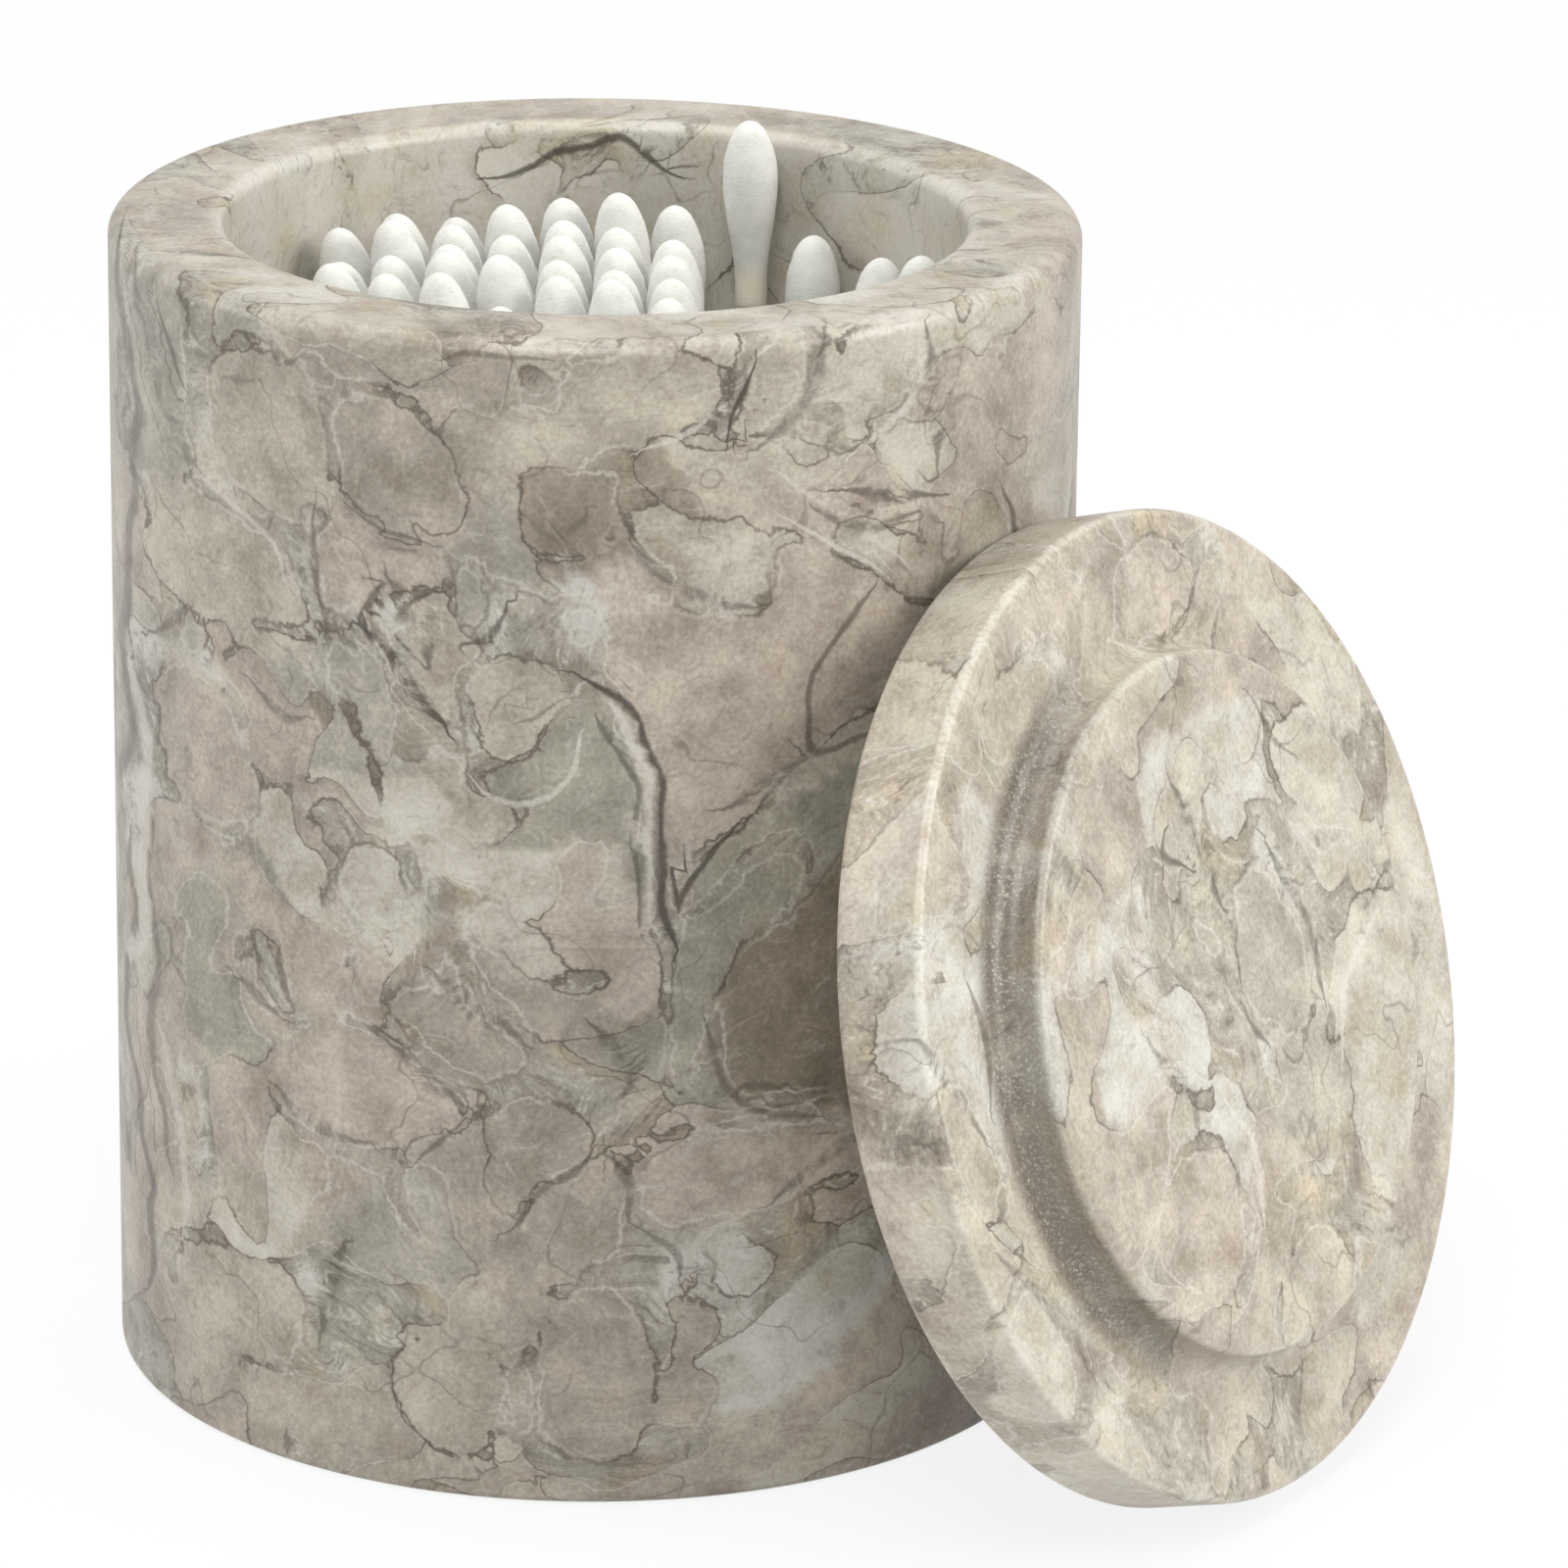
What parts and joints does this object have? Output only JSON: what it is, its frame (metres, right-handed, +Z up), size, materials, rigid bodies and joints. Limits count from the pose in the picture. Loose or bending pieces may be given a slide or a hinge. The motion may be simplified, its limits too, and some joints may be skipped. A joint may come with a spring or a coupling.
{
  "type": "cotton swab holder",
  "caption": "Turned marble jar holding a loose bunch of cotton swabs, with its plugged marble lid taken off and leaning on its side.",
  "frame": {"origin": "centre of the jar's flat foot, on the jar's axis", "axes": "+Z up along the jar's axis; the lid leans at the side of +X and -Y, and the picture looks along +Y"},
  "size_m": [0.1074, 0.1003, 0.0945],
  "materials": {
    "marble": "honed, satin, brecciated taupe and grey-green marble",
    "lid_marble": "honed, satin, paler marble of the same bed",
    "cotton": "matt wound cotton",
    "stick_paper": "satin rolled paper, ivory"
  },
  "bodies": {
    "root": {"jar": "marble", "lid": "lid_marble", "swab_01_buds": "cotton", "swab_01_stick": "stick_paper", "swab_02_buds": "cotton", "swab_02_stick": "stick_paper", "swab_03_buds": "cotton", "swab_03_stick": "stick_paper", "swab_04_buds": "cotton", "swab_04_stick": "stick_paper", "swab_05_buds": "cotton", "swab_05_stick": "stick_paper", "swab_06_buds": "cotton", "swab_06_stick": "stick_paper", "swab_07_buds": "cotton", "swab_07_stick": "stick_paper", "swab_08_buds": "cotton", "swab_08_stick": "stick_paper", "swab_09_buds": "cotton", "swab_09_stick": "stick_paper", "swab_10_buds": "cotton", "swab_10_stick": "stick_paper", "swab_11_buds": "cotton", "swab_11_stick": "stick_paper", "swab_12_buds": "cotton", "swab_12_stick": "stick_paper", "swab_13_buds": "cotton", "swab_13_stick": "stick_paper", "swab_14_buds": "cotton", "swab_14_stick": "stick_paper", "swab_15_buds": "cotton", "swab_15_stick": "stick_paper", "swab_16_buds": "cotton", "swab_16_stick": "stick_paper", "swab_17_buds": "cotton", "swab_17_stick": "stick_paper", "swab_18_buds": "cotton", "swab_18_stick": "stick_paper", "swab_19_buds": "cotton", "swab_19_stick": "stick_paper", "swab_20_buds": "cotton", "swab_20_stick": "stick_paper", "swab_21_buds": "cotton", "swab_21_stick": "stick_paper", "swab_22_buds": "cotton", "swab_22_stick": "stick_paper", "swab_23_buds": "cotton", "swab_23_stick": "stick_paper", "swab_24_buds": "cotton", "swab_24_stick": "stick_paper", "front_group_1_buds": "cotton", "front_group_1_sticks": "stick_paper", "front_group_2_buds": "cotton", "front_group_2_sticks": "stick_paper", "front_group_3_buds": "cotton", "front_group_3_sticks": "stick_paper", "front_group_4_buds": "cotton", "front_group_4_sticks": "stick_paper", "front_group_5_buds": "cotton", "front_group_5_sticks": "stick_paper"}
  },
  "joints": []
}
